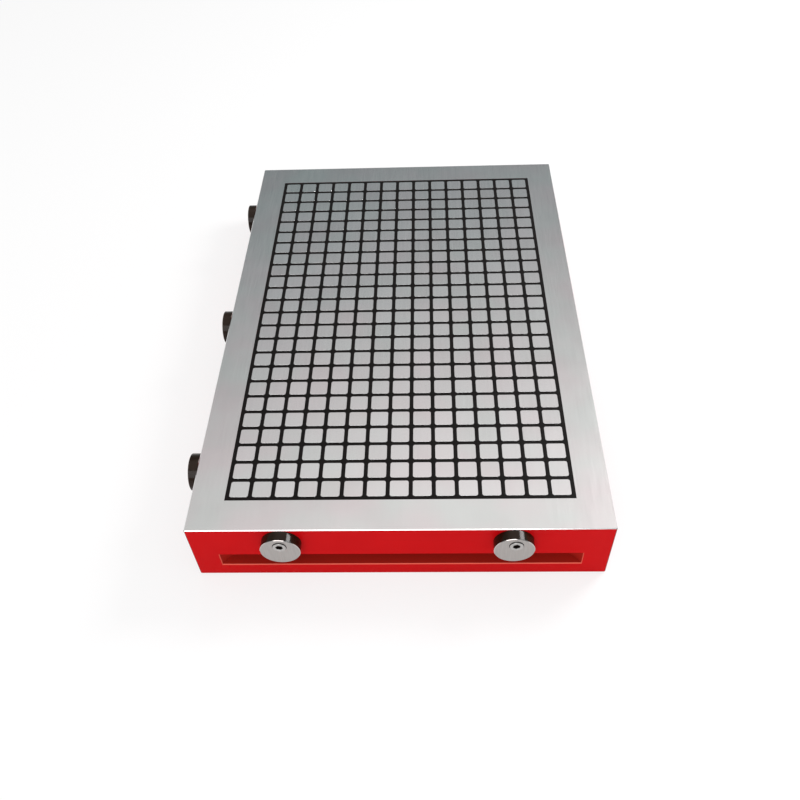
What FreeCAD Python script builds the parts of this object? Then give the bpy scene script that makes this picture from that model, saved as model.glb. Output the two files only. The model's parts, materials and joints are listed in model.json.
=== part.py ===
"""Permanent magnetic chuck, 400 x 600 mm, with a pole grid, eccentric work stops and a quarter-turn switch.

Frame: millimetres, +Z up, origin at the centre of the resting face, -Y towards the operator.
The work face looks up.  The front (-Y) and left (-X) sides carry the eccentric stop discs.
Inside, a rack and pinion slides the magnet carriage by half a pole pitch: rest is OFF, full travel is ON.
"""

import FreeCAD
import Part
import Sketcher
import math
import os

App = FreeCAD
doc = App.newDocument("MagneticChuck")

# ------------------------------------------------------------------ driving dimensions

SIZES = [
    # housing
    ("body_width", 400.0),
    ("body_length", 600.0),
    ("base_height", 55.0),
    ("panel_height", 22.0),
    ("corner_chamfer", 1.0),
    ("face_chamfer", 0.7),
    # pole grid
    ("border_width", 30.0),
    ("pole_side", 18.0),
    ("pole_gap", 4.0),
    ("pole_corner", 1.2),
    # clamping grooves in the two ends
    ("groove_margin", 25.0),
    ("groove_height", 18.0),
    ("groove_bottom", 17.0),
    ("groove_depth", 16.0),
    ("groove_cutter_radius", 35.0),
    ("groove_chamfer", 0.8),
    # carriage and its pocket
    ("pocket_floor", 36.0),
    ("pocket_radius", 4.0),
    ("carriage_wall", 3.0),
    ("yoke_thickness", 6.0),
    ("magnet_gap", 0.3),
    ("end_clearance", 0.5),
    ("slide_clearance", 0.1),
    ("fit_clearance", 0.02),
    ("strip_width", 20.0),
    ("strip_thickness", 2.0),
    ("strip_proud", 1.0),
    ("strip_inset", 48.5),
    ("strip_end_gap", 21.0),
    ("guide_thickness", 2.4),
    ("guide_height", 12.0),
    # seal between the housing and the panel
    ("seal_width", 3.0),
    ("seal_depth", 2.5),
    ("seal_margin", 3.5),
    # panel screws
    ("panel_screw_edge", 16.0),
    ("panel_screw_end", 45.0),
    ("panel_screw_rows", 6.0),
    ("panel_screw_radius", 5.0),
    ("panel_screw_hole_radius", 5.5),
    ("panel_screw_head_radius", 8.0),
    ("panel_screw_head_height", 10.0),
    ("panel_screw_recess_radius", 9.0),
    ("panel_screw_recess_depth", 11.0),
    ("panel_screw_engagement", 16.0),
    ("panel_screw_socket", 8.0),
    ("panel_screw_socket_depth", 5.0),
    ("thread_clearance", 0.05),
    ("thread_runout", 2.0),
    # lifting eye threads
    ("lifting_radius", 5.1),
    ("lifting_depth", 24.0),
    ("lifting_spacing", 200.0),
    ("lifting_height", 27.0),
    # eccentric stops
    ("stop_radius", 19.0),
    ("stop_thickness", 10.5),
    ("stop_chamfer", 0.4),
    ("stop_eccentricity", 8.0),
    ("stop_floor", 6.5),
    ("stop_counterbore_radius", 6.8),
    ("stop_bore_radius", 4.25),
    ("stop_screw_drop", 11.5),
    ("front_stop_spacing", 218.8),
    ("front_stop_offset", -1.2),
    ("side_stop_spacing", 213.5),
    ("side_stop_offset", -3.5),
    ("front_left_tilt", -2.5),
    ("front_right_tilt", -10.0),
    ("stop_screw_radius", 4.0),
    ("stop_screw_length", 25.0),
    ("stop_screw_head_radius", 6.5),
    ("stop_screw_head_height", 8.0),
    ("stop_screw_socket", 6.0),
    ("stop_screw_socket_depth", 4.0),
    # drive shaft, measured inwards from the right side
    ("drive_height", 22.0),
    ("drive_turn", 90.0),
    ("shaft_radius", 10.0),
    ("shaft_recess", 1.0),
    ("shaft_relief", 1.0),
    ("drive_socket", 10.0),
    ("drive_socket_depth", 16.0),
    ("collar_radius", 13.4),
    ("collar_width", 5.0),
    ("collar_play", 0.2),
    ("bush_clearance", 0.05),
    ("outer_bush_radius", 14.0),
    ("outer_bush_length", 15.0),
    ("journal_radius", 6.0),
    ("inner_bush_radius", 9.0),
    ("inner_bush_length", 20.0),
    ("inner_gap", 2.0),
    ("bore_radius", 11.0),
    ("flange_radius", 17.0),
    ("flange_reach", 12.0),
    ("flange_thickness", 8.0),
    ("flange_bore_gap", 0.15),
    ("flange_screw_offset", 21.0),
    ("flange_screw_radius", 2.5),
    ("flange_screw_head_radius", 4.8),
    ("flange_screw_length", 16.0),
    ("flange_screw_socket", 3.0),
    ("flange_screw_socket_depth", 2.0),
    ("shaft_seal_depth", 1.8),
    ("shaft_seal_width", 2.4),
    # rack and pinion
    ("pinion_teeth", 14.0),
    ("pinion_width", 30.0),
    ("profile_shift", 0.25),
    ("dedendum", 1.25),
    ("rack_teeth", 14.0),
    ("rack_width", 28.0),
    ("rack_play", 1.0),
    ("carriage_radius", 3.0),
    ("pinion_thinning", 0.05),
    ("rack_thinning", 0.15),
    ("rack_screw_radius", 2.5),
    ("rack_screw_head_radius", 4.6),
    ("rack_screw_length", 10.0),
    ("rack_screw_socket", 3.0),
    ("rack_screw_socket_depth", 1.8),
    ("rack_screw_spacing", 30.0),
]

sheet = doc.addObject("Spreadsheet::Sheet", "Sizes")
for row, (alias, size) in enumerate(SIZES, 1):
    sheet.set(f"A{row}", alias)
    sheet.set(f"B{row}", str(size))
    sheet.setAlias(f"B{row}", alias)
doc.recompute()

# Lengths worked out from the driving dimensions, as expressions on the sheet.
HALF_WIDTH = "(Sizes.body_width / 2)"
HALF_LENGTH = "(Sizes.body_length / 2)"
BODY_HEIGHT = "(Sizes.base_height + Sizes.panel_height)"
PITCH = "(Sizes.pole_side + Sizes.pole_gap)"
COLUMNS = f"floor((Sizes.body_width - 2 * Sizes.border_width - Sizes.pole_gap) / {PITCH})"
ROWS = f"floor((Sizes.body_length - 2 * Sizes.border_width - Sizes.pole_gap) / {PITCH})"
WINDOW_HALF_X = f"(({COLUMNS} * {PITCH} + Sizes.pole_gap) / 2)"
WINDOW_HALF_Y = f"(({ROWS} * {PITCH} + Sizes.pole_gap) / 2)"
BAR_HALF_X = f"({WINDOW_HALF_X} - Sizes.pole_gap)"
BAR_HALF_Y = f"({WINDOW_HALF_Y} - Sizes.pole_gap)"
CARRIAGE_HALF_X = f"({BAR_HALF_X} + Sizes.carriage_wall)"
CARRIAGE_HALF_Y = f"({BAR_HALF_Y} + Sizes.carriage_wall)"
TRAVEL = f"({PITCH} / 2)"
POCKET_HALF_X = f"({CARRIAGE_HALF_X} + Sizes.slide_clearance + Sizes.guide_thickness)"
POCKET_FRONT = f"(-{CARRIAGE_HALF_Y} - {TRAVEL} - Sizes.end_clearance)"
POCKET_BACK = f"({CARRIAGE_HALF_Y} + Sizes.end_clearance)"
POCKET_MIDDLE = f"(({POCKET_FRONT} + {POCKET_BACK}) / 2)"
STRIP_X = f"({POCKET_HALF_X} - Sizes.strip_inset)"
STRIP_LENGTH = f"({POCKET_BACK} - {POCKET_FRONT} - 2 * Sizes.strip_end_gap)"
STRIP_TOP = "(Sizes.pocket_floor + Sizes.strip_proud)"
YOKE_BOTTOM = f"({STRIP_TOP} + Sizes.slide_clearance)"
YOKE_TOP = f"({YOKE_BOTTOM} + Sizes.yoke_thickness)"
CARRIAGE_TOP = "(Sizes.base_height - Sizes.magnet_gap)"
PITCH_RADIUS = f"({TRAVEL} / (Sizes.drive_turn * pi / 180))"
GEAR_MODULE = f"(2 * {PITCH_RADIUS} / Sizes.pinion_teeth)"
RACK_HALF = f"(Sizes.rack_teeth * pi * {GEAR_MODULE} / 2)"
STOP_SCREW_HEIGHT = f"({BODY_HEIGHT} - Sizes.stop_screw_drop)"
FLANGE_INNER = f"({HALF_WIDTH} - Sizes.flange_thickness)"
COLLAR_OUTER = f"({FLANGE_INNER} - Sizes.collar_play)"
COLLAR_INNER = f"({COLLAR_OUTER} - Sizes.collar_width)"
BUSH_OUTER = f"({COLLAR_INNER} - Sizes.collar_play)"
BUSH_INNER = f"({BUSH_OUTER} - Sizes.outer_bush_length)"
JOURNAL_START = "(-Sizes.pinion_width / 2)"
INNER_BUSH_OUTER = f"({JOURNAL_START} - Sizes.inner_gap)"
INNER_BUSH_INNER = f"({INNER_BUSH_OUTER} - Sizes.inner_bush_length)"

X_AXIS = App.Vector(1, 0, 0)
Y_AXIS = App.Vector(0, 1, 0)
Z_AXIS = App.Vector(0, 0, 1)
UPRIGHT = App.Rotation(X_AXIS, 90)
SIDE_TURN = App.Rotation(Z_AXIS, -90)


def size(expression):
    """The number that an expression on the sheet gives."""
    return float(sheet.evalExpression(expression))


def bind(thing, expressions):
    for name, expression in expressions.items():
        thing.setExpression(name, expression)


# ------------------------------------------------------------------ sketches and PartDesign features


def new_body(name):
    body = doc.addObject("PartDesign::Body", name)
    body.Label = name
    return body


def sketch_on(body, role, offset, name):
    """An empty sketch on one of the body's own origin planes, moved along its normal."""
    sketch = body.newObject("Sketcher::SketchObject", name)
    plane = next(f for f in body.Origin.OriginFeatures if f.Role == role)
    sketch.AttachmentSupport = [(plane, "")]
    sketch.MapMode = "FlatFace"
    sketch.setExpression("AttachmentOffset.Base.z", offset)
    return sketch


def hold(sketch, kind, geometry, vertex, expression):
    """Holds a vertex's distance from the sketch's origin to an expression."""
    index = sketch.addConstraint(
        Sketcher.Constraint(kind, -1, 1, geometry, vertex, size(expression))
    )
    sketch.setExpression(f"Constraints[{index}]", expression)


def rectangle(sketch, left, right, low, high):
    """A closed rectangle whose four sides are expressions."""
    start = sketch.GeometryCount
    x0, x1, y0, y1 = (size(e) for e in (left, right, low, high))
    corners = [App.Vector(*p) for p in ((x0, y0), (x1, y0), (x1, y1), (x0, y1))]
    for i in range(4):
        sketch.addGeometry(Part.LineSegment(corners[i], corners[(i + 1) % 4]), False)
    for i in range(4):
        sketch.addConstraint(
            Sketcher.Constraint("Coincident", start + i, 2, start + (i + 1) % 4, 1)
        )
        kind = "Vertical" if i % 2 else "Horizontal"
        sketch.addConstraint(Sketcher.Constraint(kind, start + i))
    hold(sketch, "DistanceX", start, 1, left)
    hold(sketch, "DistanceX", start + 1, 1, right)
    hold(sketch, "DistanceY", start, 1, low)
    hold(sketch, "DistanceY", start + 2, 1, high)


def circle(sketch, x, y, radius):
    """A circle whose centre and radius are expressions."""
    centre = App.Vector(size(x), size(y))
    index = sketch.addGeometry(Part.Circle(centre, Z_AXIS, size(radius)), False)
    hold(sketch, "DistanceX", index, 3, x)
    hold(sketch, "DistanceY", index, 3, y)
    bound = sketch.addConstraint(Sketcher.Constraint("Radius", index, size(radius)))
    sketch.setExpression(f"Constraints[{bound}]", radius)


def pad(body, sketch, length, name):
    feature = body.newObject("PartDesign::Pad", name)
    feature.Profile = sketch
    feature.setExpression("Length", length)
    body.Tip = feature
    doc.recompute()
    return feature


def pocket(body, sketch, depth, name, forward=False):
    """Cuts the sketch against its normal, or along it with forward; it has to take material away."""
    before = body.Shape.Volume
    feature = body.newObject("PartDesign::Pocket", name)
    feature.Profile = sketch
    feature.Reversed = forward
    feature.setExpression("Length", depth)
    body.Tip = feature
    doc.recompute()
    if not feature.Shape.Volume < before:
        raise ValueError(f"{name} cuts nothing")
    return feature


def chamfer(body, chosen, width, name):
    """Chamfers the tip's edges for which chosen(edge) is true."""
    base = body.Tip
    edges = [f"Edge{i}" for i, e in enumerate(base.Shape.Edges, 1) if chosen(e)]
    feature = body.newObject("PartDesign::Chamfer", name)
    feature.Base = (base, edges)
    feature.setExpression("Size", width)
    body.Tip = feature
    doc.recompute()
    return feature


def fillet(body, chosen, radius, name):
    """Rounds the tip's edges for which chosen(edge) is true."""
    base = body.Tip
    edges = [f"Edge{i}" for i, e in enumerate(base.Shape.Edges, 1) if chosen(e)]
    feature = body.newObject("PartDesign::Fillet", name)
    feature.Base = (base, edges)
    feature.setExpression("Radius", radius)
    body.Tip = feature
    doc.recompute()
    return feature


def near(a, b):
    return abs(a - b) < 1e-4


def is_upright(edge):
    box = edge.BoundBox
    return near(box.XLength, 0) and near(box.YLength, 0)


def lies_at(edge, axis, place):
    """True if the whole edge lies in the plane axis = place."""
    box = edge.BoundBox
    return near(getattr(box, axis + "Min"), place) and near(
        getattr(box, axis + "Max"), place
    )


# ------------------------------------------------------------------ primitives and booleans


def block(name, low, sides):
    """A box whose low corner and sides are expressions."""
    solid = doc.addObject("Part::Box", name)
    bind(solid, dict(zip(("Placement.Base.x", "Placement.Base.y", "Placement.Base.z"), low)))
    bind(solid, dict(zip(("Length", "Width", "Height"), sides)))
    return solid


def rod(name, start, radius, length):
    """A cylinder along +X from start."""
    solid = doc.addObject("Part::Cylinder", name)
    solid.Placement = App.Placement(App.Vector(), App.Rotation(Y_AXIS, 90))
    place = (start, "0", "Sizes.drive_height")
    bind(solid, dict(zip(("Placement.Base.x", "Placement.Base.y", "Placement.Base.z"), place)))
    bind(solid, {"Radius": radius, "Height": length})
    return solid


def cut(name, base, tools):
    """base less the tools."""
    solid = doc.addObject("Part::Cut", name)
    solid.Base = base
    if len(tools) == 1:
        solid.Tool = tools[0]
    else:
        together = doc.addObject("Part::Compound", name + "_tools")
        together.Links = tools
        solid.Tool = together
    solid.Label = name
    doc.recompute()
    return solid


def formed(name, shape):
    """A sub-part whose shape is built by code from the sheet."""
    feature = doc.addObject("Part::Feature", name)
    feature.Shape = shape
    feature.Placement = App.Placement()
    feature.Label = name
    return feature


def hexagon(across_flats, depth):
    """A hexagonal prism from z = 0 upwards."""
    corner = across_flats / math.sqrt(3)
    turns = [math.radians(60 * i) for i in range(7)]
    points = [App.Vector(corner * math.cos(a), corner * math.sin(a), 0) for a in turns]
    return Part.Face(Part.makePolygon(points)).extrude(App.Vector(0, 0, depth))


def cap_screw(shank_radius, length, head_radius, head_height, socket, socket_depth):
    """A socket cap screw: the head's underside is z = 0 and the shank goes down."""
    shank = Part.makeCylinder(shank_radius, length, App.Vector(0, 0, -length))
    head = Part.makeCylinder(head_radius, head_height)
    rim = [e for e in head.Edges if lies_at(e, "Z", head_height)]
    head = head.makeChamfer(head_radius * 0.06, rim)
    drive = hexagon(socket, socket_depth)
    drive.translate(App.Vector(0, 0, head_height - socket_depth))
    return shank.fuse(head).removeSplitter().cut(drive)


def countersunk_screw(shank_radius, length, head_radius, socket, socket_depth):
    """A countersunk screw: the head's flat top is z = 0 and the shank goes down."""
    head_height = head_radius - shank_radius
    head = Part.makeCone(shank_radius, head_radius, head_height, App.Vector(0, 0, -head_height))
    shank = Part.makeCylinder(shank_radius, length, App.Vector(0, 0, -length))
    drive = hexagon(socket, socket_depth)
    drive.translate(App.Vector(0, 0, -socket_depth))
    return shank.fuse(head).removeSplitter().cut(drive)


def placed(shape, position, rotation):
    """A copy of the shape, turned and then moved."""
    moved = shape.copy()
    moved.Placement = App.Placement(App.Vector(*position), rotation).multiply(shape.Placement)
    return moved


# ------------------------------------------------------------------ housing


def screw_places():
    """Expressions for the x and y of each panel screw, evenly along the two long walls."""
    x = f"({HALF_WIDTH} - Sizes.panel_screw_edge)"
    end = f"({HALF_LENGTH} - Sizes.panel_screw_end)"
    count = int(size("Sizes.panel_screw_rows"))
    steps = [2 * i / (count - 1) - 1 for i in range(count)]
    return [(f"{side}{x}", f"{step} * {end}") for side in ("", "-") for step in steps]


def front_stop_lines():
    """Across the front, where the two stop screws stand."""
    return [f"(Sizes.front_stop_offset {sign} Sizes.front_stop_spacing / 2)" for sign in "-+"]


def side_stop_lines():
    """Along the left side, where the three stop screws stand."""
    return [f"(Sizes.side_stop_offset + {step} * Sizes.side_stop_spacing)" for step in (-1, 0, 1)]


def base_housing():
    """The painted steel housing that everything else sits in or on."""
    body = new_body("base_housing")
    plan = sketch_on(body, "XY_Plane", "0", "HousingPlan")
    rectangle(plan, f"-{HALF_WIDTH}", HALF_WIDTH, f"-{HALF_LENGTH}", HALF_LENGTH)
    pad(body, plan, "Sizes.base_height", "HousingBlock")
    chamfer(body, lambda e: is_upright(e) or lies_at(e, "Z", 0), "Sizes.corner_chamfer", "HousingEdges")

    plan = sketch_on(body, "XY_Plane", "Sizes.base_height", "CarriagePocketPlan")
    rectangle(plan, f"-{POCKET_HALF_X}", POCKET_HALF_X, POCKET_FRONT, POCKET_BACK)
    pocket(body, plan, "Sizes.base_height - Sizes.pocket_floor", "CarriagePocket")
    floor = size("Sizes.pocket_floor")
    corners = lambda e: is_upright(e) and near(e.BoundBox.ZMin, floor)
    fillet(body, corners, "Sizes.pocket_radius", "CarriagePocketCorners")

    cut_seal_groove(body)
    cut_strip_slots(body)
    cut_clamp_grooves(body)
    cut_drive_bore(body)
    cut_panel_screw_holes(body)
    cut_lifting_holes(body)
    return body


def cut_seal_groove(body):
    ring = sketch_on(body, "XY_Plane", "Sizes.base_height", "SealGroovePlan")
    seal_rectangles(ring, "0")
    pocket(body, ring, "Sizes.seal_depth", "SealGroove")


def seal_rectangles(sketch, inset):
    """Outer and inner outline of the panel seal or its groove, each moved inwards by inset."""
    inner = "Sizes.seal_margin"
    outer = "(Sizes.seal_margin + Sizes.seal_width)"
    for grow in (f"({outer} - {inset})", f"({inner} + {inset})"):
        rectangle(
            sketch,
            f"-{POCKET_HALF_X} - {grow}",
            f"{POCKET_HALF_X} + {grow}",
            f"{POCKET_FRONT} - {grow}",
            f"{POCKET_BACK} + {grow}",
        )


def cut_strip_slots(body):
    slots = sketch_on(body, "XY_Plane", "Sizes.pocket_floor", "StripSlotPlan")
    for side in ("-", ""):
        middle = f"{side}{STRIP_X}"
        rectangle(
            slots,
            f"{middle} - Sizes.strip_width / 2",
            f"{middle} + Sizes.strip_width / 2",
            f"{POCKET_MIDDLE} - {STRIP_LENGTH} / 2",
            f"{POCKET_MIDDLE} + {STRIP_LENGTH} / 2",
        )
    pocket(body, slots, "Sizes.strip_thickness - Sizes.strip_proud", "StripSlots")


def cut_clamp_grooves(body):
    """A disc cutter's groove along each end face, with its round run-outs."""
    radius = "Sizes.groove_cutter_radius"
    depth = "Sizes.groove_depth"
    reach = f"sqrt({radius}^2 - ({radius} - {depth})^2)"
    cutter_x = f"({HALF_WIDTH} - Sizes.groove_margin - {reach})"
    bottom = f"({HALF_LENGTH} - {depth})"
    straight = sketch_on(body, "XY_Plane", "Sizes.groove_bottom", "ClampGroovePlan")
    rectangle(straight, f"-{cutter_x}", cutter_x, f"-{HALF_LENGTH}", f"-{bottom}")
    rectangle(straight, f"-{cutter_x}", cutter_x, bottom, HALF_LENGTH)
    pocket(body, straight, "Sizes.groove_height", "ClampGrooves", forward=True)
    ends = sketch_on(body, "XY_Plane", "Sizes.groove_bottom", "ClampGrooveEndPlan")
    for x in (f"-{cutter_x}", cutter_x):
        for side in ("-", ""):
            circle(ends, x, f"{side}({bottom} + {radius})", radius)
    pocket(body, ends, "Sizes.groove_height", "ClampGrooveEnds", forward=True)
    low = size("Sizes.groove_bottom")
    high = low + size("Sizes.groove_height")
    face = size(HALF_LENGTH)

    def is_lip(edge):
        on_face = lies_at(edge, "Y", face) or lies_at(edge, "Y", -face)
        return on_face and (lies_at(edge, "Z", low) or lies_at(edge, "Z", high))

    chamfer(body, is_lip, "Sizes.groove_chamfer", "ClampGrooveLips")


def cut_drive_bore(body):
    """The stepped bore for the gear shaft, from the right side inwards, and the opening for the rack."""
    recess = sketch_on(body, "YZ_Plane", HALF_WIDTH, "FlangeRecessOutline")
    obround(recess, "Sizes.flange_reach", "Sizes.flange_radius")
    pocket(body, recess, "Sizes.flange_thickness", "FlangeRecess")
    steps = (
        ("OuterBushBore", FLANGE_INNER, BUSH_INNER, "Sizes.outer_bush_radius"),
        ("ShaftBore", BUSH_INNER, INNER_BUSH_OUTER, "Sizes.bore_radius"),
        ("InnerBushBore", INNER_BUSH_OUTER, INNER_BUSH_INNER, "Sizes.inner_bush_radius"),
    )
    for name, outer, inner, radius in steps:
        outline = sketch_on(body, "YZ_Plane", outer, name + "Outline")
        circle(outline, "0", "Sizes.drive_height", radius)
        pocket(body, outline, f"{outer} - {inner}", name)
    tapped = sketch_on(body, "YZ_Plane", FLANGE_INNER, "FlangeScrewThreadOutline")
    for side in ("-", ""):
        y = f"{side}Sizes.flange_screw_offset"
        circle(tapped, y, "Sizes.drive_height", "Sizes.flange_screw_radius + Sizes.thread_clearance")
    depth = "Sizes.flange_screw_length - Sizes.flange_thickness + Sizes.thread_runout"
    pocket(body, tapped, depth, "FlangeScrewThreads")
    opening = sketch_on(body, "XY_Plane", "Sizes.pocket_floor", "RackOpeningPlan")
    half_x = "(Sizes.rack_width / 2 + Sizes.rack_play)"
    half_y = f"({RACK_HALF} + {TRAVEL} / 2 + Sizes.rack_play)"
    rectangle(opening, f"-{half_x}", half_x, f"-{half_y}", half_y)
    tips = f"(Sizes.drive_height + {PITCH_RADIUS} + {GEAR_MODULE} * (Sizes.profile_shift - 1))"
    pocket(body, opening, f"Sizes.pocket_floor - {tips} + Sizes.rack_play", "RackOpening")


def obround(sketch, reach, radius):
    """A slot outline about the drive axis: two half circles, reach either side of it along Y."""
    y, r, z = size(reach), size(radius), size("Sizes.drive_height")
    left = Part.Circle(App.Vector(-y, z), Z_AXIS, r)
    right = Part.Circle(App.Vector(y, z), Z_AXIS, r)
    sketch.addGeometry(Part.ArcOfCircle(left, math.pi / 2, 3 * math.pi / 2), False)
    sketch.addGeometry(Part.LineSegment(App.Vector(-y, z - r), App.Vector(y, z - r)), False)
    sketch.addGeometry(Part.ArcOfCircle(right, -math.pi / 2, math.pi / 2), False)
    sketch.addGeometry(Part.LineSegment(App.Vector(y, z + r), App.Vector(-y, z + r)), False)
    for i in range(4):
        sketch.addConstraint(Sketcher.Constraint("Tangent", i, 2, (i + 1) % 4, 1))
    hold(sketch, "DistanceX", 0, 3, f"-{reach}")
    hold(sketch, "DistanceX", 2, 3, reach)
    hold(sketch, "DistanceY", 0, 3, "Sizes.drive_height")
    hold(sketch, "DistanceY", 2, 3, "Sizes.drive_height")
    index = sketch.addConstraint(Sketcher.Constraint("Radius", 0, r))
    sketch.setExpression(f"Constraints[{index}]", radius)


def cut_panel_screw_holes(body):
    clear = sketch_on(body, "XY_Plane", "0", "PanelScrewHolePlan")
    recess = sketch_on(body, "XY_Plane", "0", "PanelScrewRecessPlan")
    for x, y in screw_places():
        circle(clear, x, y, "Sizes.panel_screw_hole_radius")
        circle(recess, x, y, "Sizes.panel_screw_recess_radius")
    pocket(body, clear, "Sizes.base_height", "PanelScrewHoles", forward=True)
    pocket(body, recess, "Sizes.panel_screw_recess_depth", "PanelScrewRecesses", forward=True)


def cut_lifting_holes(body):
    """Two threads in each long side for lifting eyes."""
    for name, side, forward in (("Right", "", False), ("Left", "-", True)):
        outline = sketch_on(body, "YZ_Plane", f"{side}{HALF_WIDTH}", f"Lifting{name}Outline")
        for end in ("-", ""):
            y = f"{end}Sizes.lifting_spacing / 2"
            circle(outline, y, "Sizes.lifting_height", "Sizes.lifting_radius")
        pocket(body, outline, "Sizes.lifting_depth", f"Lifting{name}", forward=forward)


def top_frame():
    """The ground steel frame round the pole grid."""
    body = new_body("top_frame")
    plan = sketch_on(body, "XY_Plane", "Sizes.base_height", "FramePlan")
    rectangle(plan, f"-{HALF_WIDTH}", HALF_WIDTH, f"-{HALF_LENGTH}", HALF_LENGTH)
    pad(body, plan, "Sizes.panel_height", "FrameBlock")
    chamfer(body, is_upright, "Sizes.corner_chamfer", "FrameCorners")
    top = size(BODY_HEIGHT)
    chamfer(body, lambda e: lies_at(e, "Z", top), "Sizes.face_chamfer", "FrameTopEdge")
    window = sketch_on(body, "XY_Plane", BODY_HEIGHT, "WindowPlan")
    rectangle(window, f"-{WINDOW_HALF_X}", WINDOW_HALF_X, f"-{WINDOW_HALF_Y}", WINDOW_HALF_Y)
    pocket(body, window, "Sizes.panel_height", "Window")

    threads = sketch_on(body, "XY_Plane", "Sizes.base_height", "PanelThreadPlan")
    for x, y in screw_places():
        circle(threads, x, y, "Sizes.panel_screw_radius + Sizes.thread_clearance")
    depth = "Sizes.panel_screw_engagement + Sizes.thread_runout"
    pocket(body, threads, depth, "PanelThreads", forward=True)

    radius = "Sizes.stop_screw_radius + Sizes.thread_clearance"
    depth = "Sizes.stop_screw_length - Sizes.stop_floor + Sizes.thread_runout"
    # The XZ plane's normal is -Y, so the front face lies at plus half the length along it.
    front = sketch_on(body, "XZ_Plane", HALF_LENGTH, "FrontStopThreadOutline")
    for x in front_stop_lines():
        circle(front, x, STOP_SCREW_HEIGHT, radius)
    pocket(body, front, depth, "FrontStopThreads")
    left = sketch_on(body, "YZ_Plane", f"-{HALF_WIDTH}", "SideStopThreadOutline")
    for y in side_stop_lines():
        circle(left, y, STOP_SCREW_HEIGHT, radius)
    pocket(body, left, depth, "SideStopThreads", forward=True)
    return body


def pole_middles():
    """Centre of every pole in plan."""
    pitch = size(PITCH)
    columns = int(size(COLUMNS))
    rows = int(size(ROWS))
    for i in range(columns):
        for j in range(rows):
            yield (i - (columns - 1) / 2) * pitch, (j - (rows - 1) / 2) * pitch


def pole_blocks():
    """Square steel poles with broken corners, all on the panel's pitch."""
    half = size("Sizes.pole_side") / 2
    short = half - size("Sizes.pole_corner")
    bottom = size("Sizes.base_height")
    quarter = [(half, -short), (half, short), (short, half), (-short, half)]
    outline = quarter + [(-x, -y) for x, y in quarter]
    points = [App.Vector(x, y, bottom) for x, y in outline]
    face = Part.Face(Part.makePolygon(points + points[:1]))
    pole = face.extrude(App.Vector(0, 0, size("Sizes.panel_height")))
    poles = [placed(pole, (x, y, 0), App.Rotation()) for x, y in pole_middles()]
    return formed("pole_blocks", Part.makeCompound(poles))


def resin_grid(poles):
    """The cast resin that fills the window between the poles."""
    filling = block(
        "window_filling",
        (f"-{WINDOW_HALF_X}", f"-{WINDOW_HALF_Y}", "Sizes.base_height"),
        (f"2 * {WINDOW_HALF_X}", f"2 * {WINDOW_HALF_Y}", "Sizes.panel_height"),
    )
    return cut("resin_grid", filling, [poles])


def panel_seal():
    body = new_body("panel_seal")
    ring = sketch_on(body, "XY_Plane", "Sizes.base_height - Sizes.seal_depth", "SealPlan")
    seal_rectangles(ring, "Sizes.fit_clearance")
    pad(body, ring, "Sizes.seal_depth - Sizes.fit_clearance", "SealRing")
    return body


def panel_screws():
    length = size(
        "Sizes.base_height - Sizes.panel_screw_recess_depth + Sizes.panel_screw_engagement"
    )
    screw = cap_screw(
        size("Sizes.panel_screw_radius"),
        length,
        size("Sizes.panel_screw_head_radius"),
        size("Sizes.panel_screw_head_height"),
        size("Sizes.panel_screw_socket"),
        size("Sizes.panel_screw_socket_depth"),
    )
    seat = size("Sizes.panel_screw_recess_depth")
    upwards = App.Rotation(X_AXIS, 180)
    screws = [placed(screw, (size(x), size(y), seat), upwards) for x, y in screw_places()]
    return formed("panel_screws", Part.makeCompound(screws))


def wear_strip(name, side):
    """A bronze strip let into the pocket floor that carries the carriage."""
    low = (
        f"{side}{STRIP_X} - Sizes.strip_width / 2",
        f"{POCKET_MIDDLE} - {STRIP_LENGTH} / 2",
        f"{STRIP_TOP} - Sizes.strip_thickness",
    )
    return block(name, low, ("Sizes.strip_width", STRIP_LENGTH, "Sizes.strip_thickness"))


def side_guide(name, left):
    """A bronze strip against the pocket's side wall that keeps the carriage straight."""
    x = f"-{POCKET_HALF_X}" if left else f"{POCKET_HALF_X} - Sizes.guide_thickness"
    low = (x, f"{POCKET_MIDDLE} - {STRIP_LENGTH} / 2", "Sizes.pocket_floor")
    return block(name, low, ("Sizes.guide_thickness", STRIP_LENGTH, "Sizes.guide_height"))


# ------------------------------------------------------------------ eccentric stops


def stop_places():
    """Name, x, y and tilt of each stop's screw, and whether it is on the left side."""
    front_left, front_right = front_stop_lines()
    side_front, side_middle, side_rear = side_stop_lines()
    return [
        ("stop_disc_front_left", front_left, f"-{HALF_LENGTH}", "Sizes.front_left_tilt", False),
        ("stop_disc_front_right", front_right, f"-{HALF_LENGTH}", "Sizes.front_right_tilt", False),
        ("stop_disc_side_front", f"-{HALF_WIDTH}", side_front, "0", True),
        ("stop_disc_side_middle", f"-{HALF_WIDTH}", side_middle, "0", True),
        ("stop_disc_side_rear", f"-{HALF_WIDTH}", side_rear, "0", True),
    ]


def outwards(on_left):
    """Turns a stop's own frame (Z away from the wall, Y up) into the chuck's."""
    return SIDE_TURN.multiply(UPRIGHT) if on_left else UPRIGHT


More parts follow.
